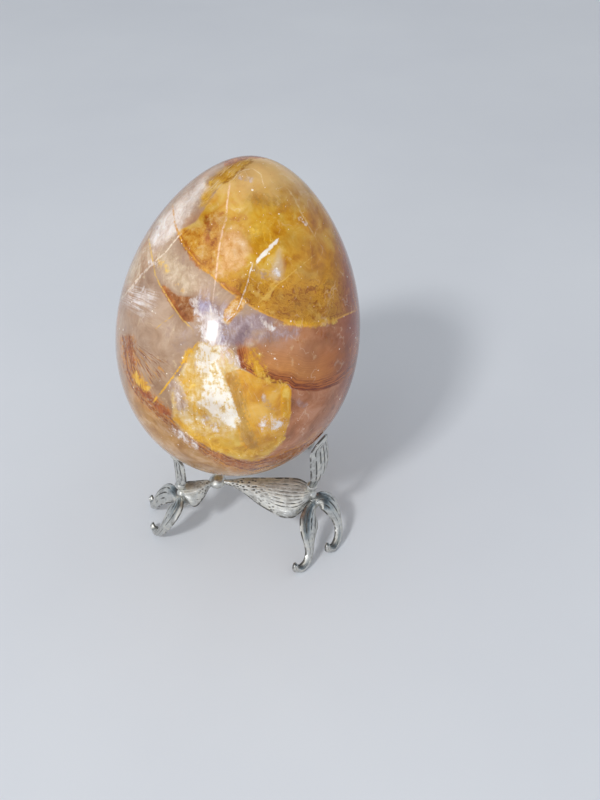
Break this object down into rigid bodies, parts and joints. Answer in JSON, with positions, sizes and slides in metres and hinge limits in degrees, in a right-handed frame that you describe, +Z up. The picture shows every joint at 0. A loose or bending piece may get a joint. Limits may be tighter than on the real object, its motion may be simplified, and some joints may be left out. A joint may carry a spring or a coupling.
{
  "type": "egg on stand",
  "caption": "Polished stone egg resting, slightly tilted, on a small silver-plated stand of ribbed leaves joined at beaded posts, with curled toes.",
  "frame": {"origin": "on the table plane, below the middle of the object and on the axis of the three posts", "axes": "+Z up, along the object's longest extent; -Y is the front seen in the picture, so +X is the viewer's right"},
  "size_m": [0.0474, 0.047, 0.0821],
  "materials": {
    "polished_quartz": "polished translucent mauve quartz with golden and rust inclusions",
    "silver_plate": "bright silver plate, cast ribs"
  },
  "bodies": {
    "stand": {"hub_bead": "silver_plate", "right_post": "silver_plate", "right_arm_leaf": "silver_plate", "right_upright_leaf": "silver_plate", "right_long_leg": "silver_plate", "right_short_leg": "silver_plate", "left_post": "silver_plate", "left_arm_leaf": "silver_plate", "left_upright_leaf": "silver_plate", "left_long_leg": "silver_plate", "left_short_leg": "silver_plate", "rear_post": "silver_plate", "rear_arm_leaf": "silver_plate", "rear_upright_leaf": "silver_plate", "rear_long_leg": "silver_plate", "rear_short_leg": "silver_plate"},
    "egg": {"stone_egg": "polished_quartz"}
  },
  "joints": [
    {"name": "egg_lift", "type": "slide", "parent": "stand", "child": "egg", "axis": [0, 0, 1], "range_m": [0, 0.06]}
  ]
}
